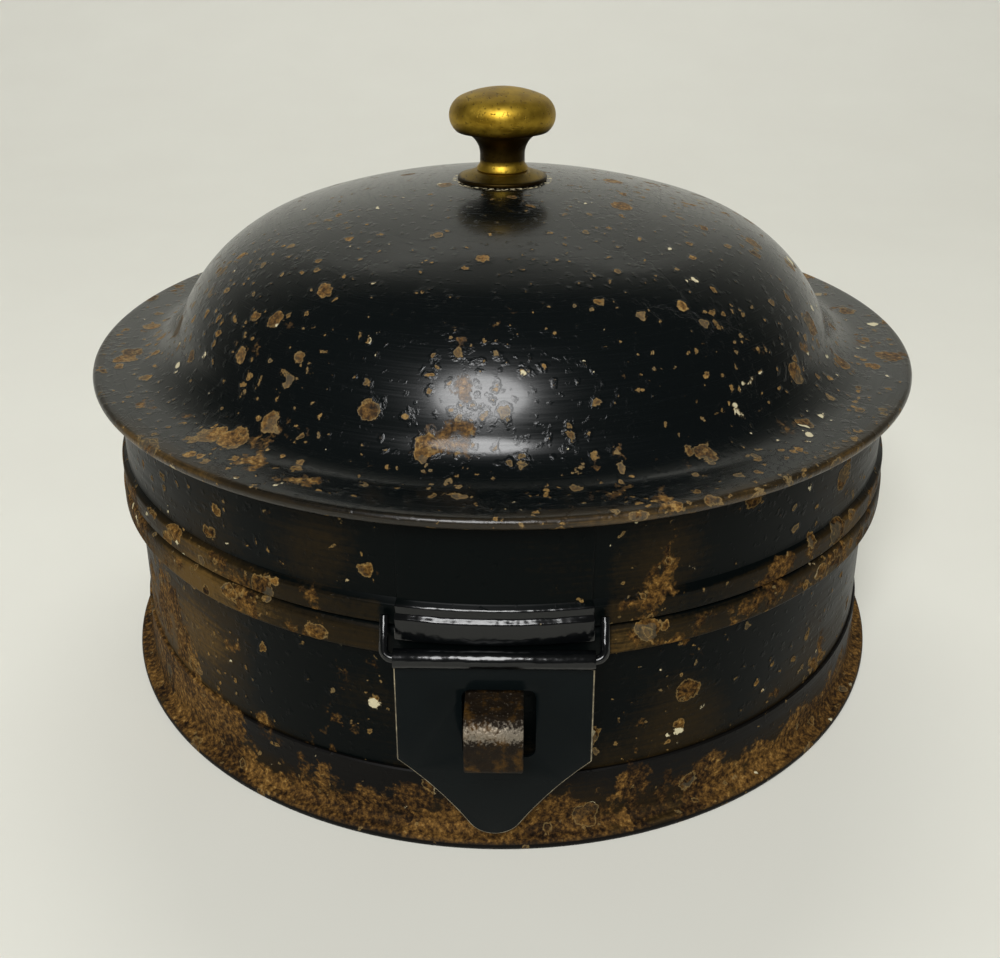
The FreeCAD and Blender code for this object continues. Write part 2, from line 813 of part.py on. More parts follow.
def wedge(inset):
    """Outline of one canister's sector, set in all round from the room it has."""
    half = HALF_TURN / d.canister_count
    aside = d.canister_side_gap + inset
    inner, outer = canister_core + inset, canister_radius - inset

    def corner(radius, side):
        angle = half - arcsine(aside / radius)
        return radius * cosine(angle), radius * sine(angle) * side

    return [
        corner(inner, -1),
        (*corner(outer, -1), left_bend(outer)),
        corner(outer, 1),
        (*corner(inner, 1), right_bend(inner)),
    ]


def canister(number, angle):
    skin = d.thin_sheet
    wall = new_body(f"canister_{number}")
    pad(wall, [wedge(Size.of(0)), wedge(skin)], "XY_Plane", canister_height)
    hem = pad(wall, [wedge(skin), wedge(skin * 2)], "XY_Plane", d.canister_hem)
    hem.Profile[0].setExpression("AttachmentOffset.Base.z", (canister_height - d.canister_hem).text)

    floor = new_body(f"canister_floor_{number}")
    pad(floor, [wedge(skin + d.lap_gap)], "XY_Plane", skin)

    near = canister_core + skin * 2 + d.lap_gap
    low, high = canister_height - d.tab_hold, canister_height + d.tab_rise
    tab = new_body(f"canister_tab_{number}")
    pad(tab, [[
        (near, low),
        (near, high, right_bend(d.tab_curl)),
        (near + d.tab_curl, high + d.tab_curl),
        (near + d.tab_curl, high + d.tab_curl - skin, left_bend(d.tab_curl - skin)),
        (near + skin, high),
        (near + skin, low),
    ]], "XZ_Plane", d.tab_width, even=True)

    for piece in (wall, floor, tab):
        piece.Placement = FreeCAD.Placement(FreeCAD.Vector(), FreeCAD.Rotation(UP, angle))
        put(piece, z=canister_base)


def grater():
    skin = d.thin_sheet
    radius = d.grater_radius
    tube = new_body("grater_tube")
    revolve(tube, rectangle(radius - skin, radius, canister_base, grater_top))
    # Rasp holes: two staggered rows of one column, repeated round and up the tube
    half_step = HALF_TURN / d.rasp_columns
    first = canister_base + d.rasp_first_row
    holes = []
    for turn, height in ((Size.of(0), first), (half_step, first + d.rasp_pitch / 2)):
        sketch = new_sketch(tube, "YZ_Plane")
        sketch.AttachmentOffset = FreeCAD.Placement(
            FreeCAD.Vector(), FreeCAD.Rotation(FreeCAD.Vector(0, 1, 0), turn.value))
        draw_circle(sketch, 0, height, d.rasp_hole_radius)
        holes.append(pocket(tube, sketch, radius + skin, back=True))
    axis = next(f for f in tube.Origin.OriginFeatures if f.Role == "Z_Axis")
    grid = tube.newObject("PartDesign::MultiTransform", "rasp_grid")
    round_about = tube.newObject("PartDesign::PolarPattern", "rasp_columns")
    round_about.Axis = (axis, [""])
    round_about.Angle = FULL_TURN
    round_about.setExpression("Occurrences", d.rasp_columns.text)
    upwards = tube.newObject("PartDesign::LinearPattern", "rasp_rows")
    upwards.Direction = (axis, [""])
    upwards.setExpression("Length", (d.rasp_pitch * (d.rasp_rows - 1)).text)
    upwards.setExpression("Occurrences", d.rasp_rows.text)
    grid.Originals = holes
    grid.Transformations = [round_about, upwards]
    tube.Tip = grid

    edge = radius - skin - d.lap_gap
    revolve(new_body("grater_floor"),
            [(0, canister_base), (edge, canister_base),
             (edge, canister_base + skin), (0, canister_base + skin)])

    under = grater_top + d.moving_gap
    outer = cap_inner + skin
    low = under - d.cap_depth

    def dish(half_width):
        return (half_width * half_width + d.cap_crown * d.cap_crown) / (d.cap_crown * 2)

    revolve(new_body("grater_cap"), [
        (cap_inner, low),
        (outer, low),
        (outer, under + skin, left_bend(dish(outer))),
        (0, under + skin + d.cap_crown),
        (0, under + d.cap_crown, right_bend(dish(cap_inner))),
        (cap_inner, under),
    ])


body_wall()
base_floor()
foot()
staple()
lid_hinge()
lid_dome()
lid_skirt()
knob_rose()
knob()
knob_fixing()
hasp_hinge_leaf()
hasp_wire()
hasp_knuckle()
hasp_plate()
count = round(d.canister_count.value)
for number in range(count):
    canister(number + 1, FULL_TURN / count * number)
grater()

doc.recompute()
failed = [o.Label for o in doc.Objects if {"Invalid", "Error"} & set(o.State)]
for node in nodes:
    shape = node.Shape
    if shape.isNull() or not shape.isValid() or len(shape.Solids) != 1:
        failed.append(node.Label)
if failed:
    raise ValueError(f"failed: {failed}")

os.makedirs("parts", exist_ok=True)
for node in nodes:
    node.Shape.exportStep(f"parts/{node.Label}.step")
print(f"{len(nodes)} parts written")
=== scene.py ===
import bpy
import math
import mathutils
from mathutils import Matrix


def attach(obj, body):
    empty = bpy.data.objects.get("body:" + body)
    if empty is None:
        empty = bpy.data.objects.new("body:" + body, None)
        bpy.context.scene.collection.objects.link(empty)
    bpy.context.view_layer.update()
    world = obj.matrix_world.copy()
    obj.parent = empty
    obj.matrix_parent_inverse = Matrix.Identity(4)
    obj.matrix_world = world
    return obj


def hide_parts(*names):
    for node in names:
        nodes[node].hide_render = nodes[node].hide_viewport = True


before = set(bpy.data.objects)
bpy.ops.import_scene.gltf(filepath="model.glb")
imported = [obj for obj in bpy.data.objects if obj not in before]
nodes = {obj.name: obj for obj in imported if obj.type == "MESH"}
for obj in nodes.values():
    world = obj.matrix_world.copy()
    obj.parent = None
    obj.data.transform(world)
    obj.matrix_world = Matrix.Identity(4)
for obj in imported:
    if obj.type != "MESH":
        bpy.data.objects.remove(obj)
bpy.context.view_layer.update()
print("frame loaded:", len(nodes), "nodes")


# small helpers, sizes in mm and angles in degrees
def metres(*sizes):
    return tuple(size / 1000 for size in sizes)


def sinDeg(angle):
    return math.sin(math.radians(angle))


def cosDeg(angle):
    return math.cos(math.radians(angle))


def arc(across, up, radius, start, end, steps):  # angle 0 points up, 90 points outwards
    turns = [start + (end - start) * i / steps for i in range(steps + 1)]
    return [(across + radius * sinDeg(t), up + radius * cosDeg(t)) for t in turns]


def linear(hexColour):  # sRGB hex to the linear colour that sockets take
    parts = [int(hexColour[i:i + 2], 16) / 255 for i in (1, 3, 5)]
    return tuple(p / 12.92 if p <= 0.04045 else ((p + 0.055) / 1.055) ** 2.4 for p in parts) + (1,)


def addNode(tree, kind, inputs=None, **settings):
    made = tree.nodes.new("ShaderNode" + kind)
    for key, value in settings.items():
        setattr(made, key, value)
    for key, value in (inputs or {}).items():
        if isinstance(value, bpy.types.NodeSocket):
            tree.links.new(value, made.inputs[key])
        else:
            made.inputs[key].default_value = value
    return made


def newMaterial(name):
    material = bpy.data.materials.new(name)
    material.use_nodes = True
    return material, material.node_tree, material.node_tree.nodes["Principled BSDF"]


def inMillimetres(tree):  # the piece's own coordinates, in mm, so that a scale is 1 / size
    place = addNode(tree, "TexCoord").outputs["Object"]
    return addNode(tree, "VectorMath", {0: place, 1: (1000, 1000, 1000)}, operation="MULTIPLY").outputs[0]


def clearSelection():
    if bpy.context.object and bpy.context.object.mode != "OBJECT":
        bpy.ops.object.mode_set(mode="OBJECT")
    bpy.ops.object.select_all(action="DESELECT")


patternSizes = {"clouds": 38, "ragged": 2.6, "patches": 11, "grain": 0.9, "polish": 0.55, "veins": 13,
                "waves": 26, "shift": 3.4, "turn": 2.2}  # of the varnish and its rust, in mm


# black japan: stoved asphalt varnish on tinplate, deep and glossy, chipped through to rust
def japanMaterial(name, wear):
    material, tree, shader = newMaterial(name)
    place = inMillimetres(tree)
    apart = addNode(tree, "SeparateXYZ", {0: place}).outputs
    flat = addNode(tree, "VectorMath", {0: place, 1: (1, 1, 0)}, operation="MULTIPLY").outputs[0]
    across = addNode(tree, "VectorMath", {0: flat}, operation="LENGTH").outputs["Value"]
    outwards = addNode(tree, "VectorMath", {0: flat}, operation="NORMALIZE").outputs[0]

    # where the finish has suffered: by cloudy areas, on what stands proud and low on the tin
    clouds = addNode(tree, "TexNoise",
                     {"Vector": place, "Scale": 1 / patternSizes["clouds"], "Detail": 2}).outputs[0]
    proud = addNode(tree, "MapRange", {"Value": across, "From Min": wear["proudFrom"],
                                       "From Max": wear["proudTo"]}).outputs[0]
    low = addNode(tree, "MapRange", {"Value": apart["Z"], "From Min": wear["lowFrom"],
                                     "From Max": wear["lowTo"]}).outputs[0]
    rubbed = addNode(tree, "Math", {0: proud, 1: low}, operation="MAXIMUM").outputs[0]
    for centre, radius, strength in wear["stains"]:
        away = addNode(tree, "VectorMath", {0: place, 1: centre}, operation="DISTANCE").outputs["Value"]
        stain = addNode(tree, "MapRange", {"Value": away, "From Min": radius, "From Max": radius * 0.25,
                                           "To Max": strength}).outputs[0]
        rubbed = addNode(tree, "Math", {0: rubbed, 1: stain}, operation="MAXIMUM").outputs[0]
    # the hasp's hinge was painted over later, and the paint runs on to the bands behind it
    side = addNode(tree, "Math", {0: apart["X"]}, operation="ABSOLUTE").outputs[0]
    side = addNode(tree, "MapRange", {"Value": side, "From Min": wear["painted"] + 2,
                                      "From Max": wear["painted"]}).outputs[0]
    front = addNode(tree, "MapRange", {"Value": apart["Y"], "From Min": -60, "From Max": -70}).outputs[0]
    above = addNode(tree, "MapRange", {"Value": apart["Z"], "From Min": 30, "From Max": 36}).outputs[0]
    painted = addNode(tree, "Math", {0: side, 1: front}, operation="MULTIPLY").outputs[0]
    painted = addNode(tree, "Math", {0: painted, 1: above}, operation="MULTIPLY").outputs[0]
    unpainted = addNode(tree, "Math", {0: 1.0, 1: painted}, operation="SUBTRACT").outputs[0]
    rubbed = addNode(tree, "Math", {0: rubbed, 1: unpainted}, operation="MULTIPLY").outputs[0]
    amount = addNode(tree, "MapRange", {"Value": clouds, "From Min": 0.35, "From Max": 0.68,
                                        "To Min": wear["least"], "To Max": wear["most"]}).outputs[0]
    amount = addNode(tree, "Math", {0: rubbed, 1: wear["rub"], 2: amount},
                     operation="MULTIPLY_ADD").outputs[0]
    amount = addNode(tree, "Math", {0: painted, 1: -0.45, 2: amount}, operation="MULTIPLY_ADD").outputs[0]

    # chips with ragged outlines in four sizes, each cell with its own radius
    ragged = addNode(tree, "TexNoise", {"Vector": place, "Scale": 1 / patternSizes["ragged"], "Detail": 4,
                                        "Roughness": 0.6}).outputs["Color"]
    shifted = addNode(tree, "VectorMath", {0: ragged, 1: (patternSizes["shift"],) * 3, 2: place},
                      operation="MULTIPLY_ADD").outputs[0]
    chipped, rims, lips, kinds = 0.0, 0.0, 0.0, []
    for size, largest, start in wear["chips"]:
        cells = addNode(tree, "TexVoronoi", {"Vector": shifted, "Scale": 1 / size})
        pick = addNode(tree, "SeparateColor", {0: cells.outputs["Color"]}).outputs
        radius = addNode(tree, "Math", {0: pick[0], 1: amount}, operation="ADD").outputs[0]
        radius = addNode(tree, "MapRange", {"Value": radius, "From Min": start - 0.86, "To Min": -0.3,
                                            "From Max": start + largest / 0.35, "To Max": largest}).outputs[0]
        inside = addNode(tree, "Math", {0: radius, 1: cells.outputs["Distance"]},
                         operation="SUBTRACT").outputs[0]
        inside = addNode(tree, "Math", {0: inside, 1: size}, operation="MULTIPLY").outputs[0]
        depth = addNode(tree, "MapRange", {"Value": inside, "From Min": 0, "From Max": 0.16}).outputs[0]
        chipped = addNode(tree, "Math", {0: chipped, 1: depth}, operation="MAXIMUM").outputs[0]
        rim = addNode(tree, "MapRange", {"Value": inside, "From Min": 0.38, "From Max": 0.14}).outputs[0]
        rim = addNode(tree, "Math", {0: depth, 1: rim}, operation="MULTIPLY").outputs[0]
        rims = addNode(tree, "Math", {0: rims, 1: rim}, operation="MAXIMUM").outputs[0]
        lip = addNode(tree, "MapRange", {"Value": inside, "From Min": -0.55, "From Max": -0.05}).outputs[0]
        lips = addNode(tree, "Math", {0: lips, 1: lip}, operation="MAXIMUM").outputs[0]
        kinds.append(pick)
    # rust that has spread in patches, held back where the metal is rolled at the table
    rolled = addNode(tree, "MapRange", {"Value": apart["Z"], "From Min": 1.3, "From Max": 1.8}).outputs[0]
    spread = addNode(tree, "TexNoise", {"Vector": shifted, "Scale": 1 / patternSizes["patches"], "Detail": 5,
                                        "Roughness": 0.62}).outputs[0]
    spread = addNode(tree, "Math", {0: rubbed, 1: wear["patch"], 2: spread},
                     operation="MULTIPLY_ADD").outputs[0]
    spread = addNode(tree, "MapRange", {"Value": spread, "From Min": wear["patchAt"],
                                        "From Max": wear["patchAt"] + 0.05}).outputs[0]
    spread = addNode(tree, "Math", {0: spread, 1: rolled}, operation="MULTIPLY").outputs[0]
    bare = addNode(tree, "Math", {0: chipped, 1: spread}, operation="MAXIMUM").outputs[0]

    # rust: dark brown pits to ochre scale, each chip with its own lightness and some of them grey
    grain = addNode(tree, "TexNoise",
                    {"Vector": place, "Scale": 1 / patternSizes["grain"], "Detail": 4,
                     "Roughness": 0.7}).outputs[0]
    tone = addNode(tree, "MapRange", {"Value": grain, "From Min": 0.3, "From Max": 0.7,
                                      "To Min": 0.24 + wear["tone"],
                                      "To Max": 0.84 + wear["tone"]}).outputs[0]
    tone = addNode(tree, "Math", {0: kinds[1][1], 1: 0.26, 2: tone}, operation="MULTIPLY_ADD").outputs[0]
    rust = addNode(tree, "ValToRGB", {0: tone})
    ramp = rust.color_ramp
    ramp.elements[0].position, ramp.elements[0].color = 0.36, linear("#150e07")
    ramp.elements[1].position, ramp.elements[1].color = 0.97, linear("#937745")
    for position, colour in ((0.52, "#302110"), (0.66, "#4e3718"), (0.78, "#654a24"), (0.87, "#785626")):
        ramp.elements.new(position).color = linear(colour)
    grey = addNode(tree, "MapRange", {"Value": kinds[2][1], "From Min": 0.55, "From Max": 0.75,
                                      "To Max": 0.5}).outputs[0]
    grey = addNode(tree, "Math", {0: grey, 1: chipped}, operation="MULTIPLY").outputs[0]
    rust = addNode(tree, "Mix", {0: grey, 6: rust.outputs[0], 7: linear("#4d493c")},
                   data_type="RGBA").outputs[2]
    edge = addNode(tree, "Math", {0: rims, 1: 0.45}, operation="MULTIPLY").outputs[0]
    rust = addNode(tree, "Mix", {0: edge, 6: rust, 7: linear("#9a8150")}, data_type="RGBA").outputs[2]
    # a few chips show pale primer, and it squeezed out round the knob's seat
    pale = addNode(tree, "MapRange", {"Value": kinds[2][2], "From Min": 0.935, "From Max": 0.955}).outputs[0]
    pale = addNode(tree, "Math", {0: pale, 1: chipped}, operation="MULTIPLY").outputs[0]
    seat = addNode(tree, "Math", {0: across, 1: 10.4}, operation="SUBTRACT").outputs[0]
    seat = addNode(tree, "Math", {0: seat}, operation="ABSOLUTE").outputs[0]
    seat = addNode(tree, "MapRange", {"Value": seat, "From Min": 0.75, "From Max": 0.45}).outputs[0]
    crown = addNode(tree, "MapRange", {"Value": apart["Z"], "From Min": 103.9, "From Max": 104.1}).outputs[0]
    seat = addNode(tree, "Math", {0: seat, 1: crown}, operation="MULTIPLY").outputs[0]
    broken = addNode(tree, "MapRange", {"Value": grain, "From Min": 0.5, "From Max": 0.58}).outputs[0]
    seat = addNode(tree, "Math", {0: seat, 1: broken}, operation="MULTIPLY").outputs[0]
    pale = addNode(tree, "Math", {0: pale, 1: seat}, operation="MAXIMUM").outputs[0]
    bare = addNode(tree, "Math", {0: bare, 1: seat}, operation="MAXIMUM").outputs[0]
    rust = addNode(tree, "Mix", {0: pale, 6: rust, 7: linear("#c4bb9a")}, data_type="RGBA").outputs[2]

    # varnish: blue-black, going brown where it is thin, with polish lines round the tin
    height = addNode(tree, "Math", {0: apart["Z"], 1: across}, operation="SUBTRACT").outputs[0]
    lines = addNode(tree, "VectorMath", {0: outwards, 1: (patternSizes["turn"],) * 3},
                    operation="MULTIPLY").outputs[0]
    lines = addNode(tree, "SeparateXYZ", {0: lines}).outputs
    lines = addNode(tree, "CombineXYZ", {0: lines[0], 1: lines[1], 2: height}).outputs[0]
    polish = addNode(tree, "TexNoise",
                     {"Vector": lines, "Scale": 1 / patternSizes["polish"], "Detail": 3,
                      "Roughness": 0.7}).outputs[0]
    hazed = rubbed if wear["hazy"] else proud
    thin = addNode(tree, "Math", {0: hazed, 1: wear["thin"], 2: clouds}, operation="MULTIPLY_ADD").outputs[0]
    thin = addNode(tree, "Math", {0: polish, 1: 0.35, 2: thin}, operation="MULTIPLY_ADD").outputs[0]
    thin = addNode(tree, "Math", {0: grain, 1: 0.30, 2: thin}, operation="MULTIPLY_ADD").outputs[0]
    thin = addNode(tree, "MapRange",
                   {"Value": thin, "From Min": 0.98, "From Max": 1.45, "To Max": 0.8}).outputs[0]
    thin = addNode(tree, "Math", {0: thin, 1: rolled}, operation="MULTIPLY").outputs[0]
    varnish = addNode(tree, "Mix", {0: thin, 6: linear(wear["varnish"]), 7: linear("#33260f")},
                      data_type="RGBA").outputs[2]
    golden = addNode(tree, "MapRange",
                     {"Value": thin, "From Min": 0.5, "From Max": 0.8, "To Max": 0.5}).outputs[0]
    varnish = addNode(tree, "Mix", {0: golden, 6: varnish, 7: linear("#6a5128")}, data_type="RGBA").outputs[2]
    colour = addNode(tree, "Mix", {0: bare, 6: varnish, 7: rust}, data_type="RGBA").outputs[2]
    gloss = addNode(tree, "MapRange", {"Value": polish, "From Min": 0.35, "From Max": 0.7,
                                       "To Min": wear["gloss"], "To Max": wear["gloss"] + 0.1}).outputs[0]
    gloss = addNode(tree, "Math", {0: thin, 1: 0.3, 2: gloss}, operation="MULTIPLY_ADD").outputs[0]
    rough = addNode(tree, "Mix", {0: bare, 2: gloss, 3: 0.78}).outputs[0]

    # relief in mm: hand-raised sheet, blistered chip edges, crazing on the lid, rust grain
    veins = addNode(tree, "TexVoronoi", {"Vector": shifted, "Scale": 1 / patternSizes["veins"]},
                    feature="DISTANCE_TO_EDGE").outputs[0]
    veins = addNode(tree, "MapRange", {"Value": veins, "From Min": 0.016, "From Max": 0.006}).outputs[0]
    crazed = addNode(tree, "MapRange", {"Value": clouds, "From Min": 0.5, "From Max": 0.56,
                                        "To Max": wear["cracks"]}).outputs[0]
    cracks = addNode(tree, "Math", {0: veins, 1: crazed}, operation="MULTIPLY").outputs[0]
    waves = addNode(tree, "TexNoise",
                    {"Vector": place, "Scale": 1 / patternSizes["waves"], "Detail": 1}).outputs[0]
    relief = addNode(tree, "Math", {0: waves, 1: 0.22}, operation="MULTIPLY").outputs[0]
    pits = addNode(tree, "Math", {0: grain, 1: bare}, operation="MULTIPLY").outputs[0]
    for pattern, tall in ((polish, 0.0045), (lips, 0.06), (bare, -0.15), (cracks, -0.06), (pits, 0.26)):
        relief = addNode(tree, "Math", {0: pattern, 1: tall, 2: relief}, operation="MULTIPLY_ADD").outputs[0]
    bump = addNode(tree, "Bump", {"Height": relief, "Distance": 0.001, "Strength": 1}).outputs[0]

    tree.links.new(colour, shader.inputs["Base Color"])
    tree.links.new(rough, shader.inputs["Roughness"])
    tree.links.new(bump, shader.inputs["Normal"])
    shader.inputs["IOR"].default_value = 1.52
    shader.inputs["Specular IOR Level"].default_value = wear["shine"]
    shader.inputs["Coat Weight"].default_value = wear["coat"]
    shader.inputs["Coat Roughness"].default_value = 0.12
    return material


# chips: cell size in mm, largest radius in cells, how worn a spot has to be for them
chipSizes = ((15.0, 0.26, 1.40), (9.5, 0.30, 0.94), (4.0, 0.32, 0.94), (2.1, 0.38, 1.04))
lidWear = {"varnish": "#05090a", "gloss": 0.20, "shine": 0.20, "coat": 0.22, "proudFrom": 85.5,
           "proudTo": 90.0, "lowFrom": 92.0, "lowTo": 74.0, "least": 0.52, "most": 1.00, "rub": 0.18,
           "patch": 0.11, "patchAt": 0.735, "thin": 0.38, "hazy": False, "tone": 0.04, "painted": -9,
           "cracks": 1.0, "chips": chipSizes,
           "stains": (((-4, -72, 80), 24, 1.6), ((-52, -44, 84), 26, 1.3), ((58, -44, 84), 26, 1.1))}
bandWear = {"varnish": "#040707", "gloss": 0.30, "shine": 0.05, "coat": 0.0, "proudFrom": 84.9,
            "proudTo": 86.6, "lowFrom": 26.0, "lowTo": 8.0, "least": 0.38, "most": 0.82, "rub": 0.26,
            "patch": 0.19, "patchAt": 0.70, "thin": 0.42, "hazy": True, "tone": -0.03, "painted": 18.0,
            "cracks": 0.0, "chips": chipSizes,
            "stains": (((-70, -46, 14), 44, 1.3), ((-30, -79, 58), 16, 0.8), ((30, -80, 56), 15, 0.9),
                       ((-26, -80, 24), 22, 0.7), ((34, -76, 14), 20, 0.8), ((66, -52, 16), 26, 0.7))}
footWear = {"varnish": "#0a0908", "gloss": 0.42, "shine": 0.08, "coat": 0.0, "proudFrom": 84.6,
            "proudTo": 86.5, "lowFrom": 15.0, "lowTo": 2.5, "least": 0.30, "most": 0.75, "rub": 0.26,
            "patch": 0.30, "patchAt": 0.635, "thin": 0.5, "hazy": True, "tone": -0.07, "painted": -9,
            "cracks": 0.0, "chips": chipSizes, "stains": (((-70, -46, 14), 40, 1.1),)}
lidJapan = japanMaterial("chipped_black_japan_lid", lidWear)
bandJapan = japanMaterial("chipped_black_japan_bands", bandWear)
footJapan = japanMaterial("rusted_black_japan_foot", footWear)
leafWear = {**bandWear, "proudFrom": 90.0, "proudTo": 91.0, "rub": 0.2, "least": 0.40, "most": 0.75,
            "stains": ()}
leafJapan = japanMaterial("black_japan_hasp_leaf", leafWear)


# later oil paint on the fittings, brushed on thick: smooth, slate black, lumpy over solder
def fittingPaint(name, look):
    material, tree, shader = newMaterial(name)
    place = inMillimetres(tree)
    clouds = addNode(tree, "TexNoise", {"Vector": place, "Scale": 1 / 7, "Detail": 3}).outputs[0]
    specks = addNode(tree, "TexVoronoi", {"Vector": place, "Scale": 1 / 2.6})
    pick = addNode(tree, "SeparateColor", {0: specks.outputs["Color"]}).outputs
    size = addNode(tree, "MapRange", {"Value": pick[0], "From Min": 1 - look["specks"], "From Max": 1,
                                      "To Min": -0.05, "To Max": 0.2}).outputs[0]
    speck = addNode(tree, "Math", {0: specks.outputs["Distance"], 1: size}, operation="LESS_THAN").outputs[0]
    paint = addNode(tree, "Mix", {0: clouds, 6: linear(look["dark"]), 7: linear(look["light"])},
                    data_type="RGBA").outputs[2]
    colour = addNode(tree, "Mix", {0: speck, 6: paint, 7: linear("#6d6350")}, data_type="RGBA").outputs[2]
    rough = addNode(tree, "MapRange", {"Value": clouds, "From Min": 0.3, "From Max": 0.7,
                                       "To Min": look["gloss"], "To Max": look["gloss"] + 0.1}).outputs[0]
    lumps = addNode(tree, "TexNoise",
                    {"Vector": place, "Scale": 1 / look["lumpSize"], "Detail": 2}).outputs[0]
    relief = addNode(tree, "Math", {0: lumps, 1: look["lumpDepth"], 2: 0},
                     operation="MULTIPLY_ADD").outputs[0]
    bump = addNode(tree, "Bump", {"Height": relief, "Distance": 0.001, "Strength": 1}).outputs[0]
    tree.links.new(colour, shader.inputs["Base Color"])
    tree.links.new(rough, shader.inputs["Roughness"])
    tree.links.new(bump, shader.inputs["Normal"])
    shader.inputs["IOR"].default_value = 1.48
    shader.inputs["Specular IOR Level"].default_value = look["shine"]
    return material


platePaint = fittingPaint("slate_black_oil_paint", {
    "dark": "#080c0d", "light": "#0b1011", "gloss": 0.10, "shine": 0.07, "specks": 0.05, "lumpSize": 9,
    "lumpDepth": 0.02})
thickPaint = fittingPaint("thick_black_paint_over_solder", {
    "dark": "#050607", "light": "#090b0c", "gloss": 0.14, "shine": 0.4, "specks": 0.06, "lumpSize": 3.6,
    "lumpDepth": 0.34})


# bare iron: rust bloom in the hollows, scraped bright where things rub
def ironMaterial(name, look):
    material, tree, shader = newMaterial(name)
    place = inMillimetres(tree)
    apart = addNode(tree, "SeparateXYZ", {0: place}).outputs
    bloom = addNode(tree, "TexNoise",
                    {"Vector": place, "Scale": 1 / 2.6, "Detail": 5, "Roughness": 0.65}).outputs[0]
    grain = addNode(tree, "TexNoise", {"Vector": place, "Scale": 1 / 0.5, "Detail": 3}).outputs[0]
    bright = addNode(tree, "Math", {0: apart["Z"], 1: look["rubHeight"]}, operation="SUBTRACT").outputs[0]
    bright = addNode(tree, "Math", {0: bright}, operation="ABSOLUTE").outputs[0]
    bright = addNode(tree, "MapRange",
                     {"Value": bright, "From Min": look["rubWide"], "From Max": 0}).outputs[0]
    bright = addNode(tree, "Math", {0: bright, 1: 0.55, 2: grain}, operation="MULTIPLY_ADD").outputs[0]
    bright = addNode(tree, "MapRange", {"Value": bright, "From Min": 0.72, "From Max": 0.98,
                                        "To Max": look["rub"]}).outputs[0]
    rust = addNode(tree, "ValToRGB", {0: bloom})
    ramp = rust.color_ramp
    ramp.elements[0].position, ramp.elements[0].color = 0.30, linear("#120c06")
    ramp.elements[1].position, ramp.elements[1].color = 0.74, linear(look["bloom"])
    ramp.elements.new(0.5).color = linear(look["body"])
    colour = addNode(tree, "Mix", {0: bright, 6: rust.outputs[0], 7: linear("#9a9080")},
                     data_type="RGBA").outputs[2]
    rough = addNode(tree, "Mix", {0: bright, 2: 0.68, 3: 0.3}).outputs[0]
    relief = addNode(tree, "Math", {0: bloom, 1: 0.5, 2: 0}, operation="MULTIPLY_ADD").outputs[0]
    relief = addNode(tree, "Math", {0: grain, 1: 0.12, 2: relief}, operation="MULTIPLY_ADD").outputs[0]
    bump = addNode(tree, "Bump", {"Height": relief, "Distance": 0.001, "Strength": 1}).outputs[0]
    tree.links.new(colour, shader.inputs["Base Color"])
    tree.links.new(bright, shader.inputs["Metallic"])
    tree.links.new(rough, shader.inputs["Roughness"])
    tree.links.new(bump, shader.inputs["Normal"])
    shader.inputs["Specular IOR Level"].default_value = look["shine"]
    return material


stapleIron = ironMaterial("rusted_wrought_strap", {
    "rubHeight": 32.9, "rubWide": 2.6, "rub": 0.6, "shine": 0.12, "body": "#1a1208", "bloom": "#4f3610"})
plainIron = ironMaterial("dark_iron", {
    "rubHeight": -50, "rubWide": 1, "rub": 0.5, "shine": 0.5, "body": "#3a2c20", "bloom": "#5f4526"})
wornEdge = ironMaterial("edge_worn_to_bare_sheet", {
    "rubHeight": 20, "rubWide": 60, "rub": 0.2, "shine": 0.5, "body": "#5f5640", "bloom": "#b3a684"})


